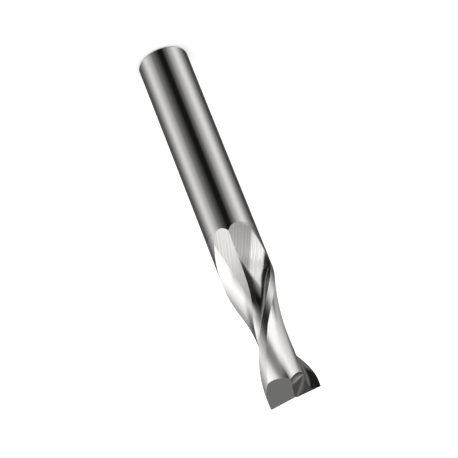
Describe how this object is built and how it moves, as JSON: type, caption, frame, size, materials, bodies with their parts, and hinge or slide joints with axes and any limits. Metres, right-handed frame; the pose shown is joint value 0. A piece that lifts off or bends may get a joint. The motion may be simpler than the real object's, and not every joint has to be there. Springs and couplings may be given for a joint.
{
  "type": "end mill",
  "caption": "Solid carbide end mill: plain round shank, right-hand helical flutes with a narrow land and ground back on each tooth, and a gashed cutting end.",
  "frame": {"origin": "centre of the shank's end face, which the tool stands on", "axes": "+Z along the tool's axis, from the shank end towards the cutting end; -Y is the side that the picture shows"},
  "size_m": [0.008, 0.008, 0.0629],
  "materials": {
    "ground_carbide": "ground and polished bare tungsten carbide"
  },
  "bodies": {
    "root": {"end_mill": "ground_carbide"}
  },
  "joints": []
}
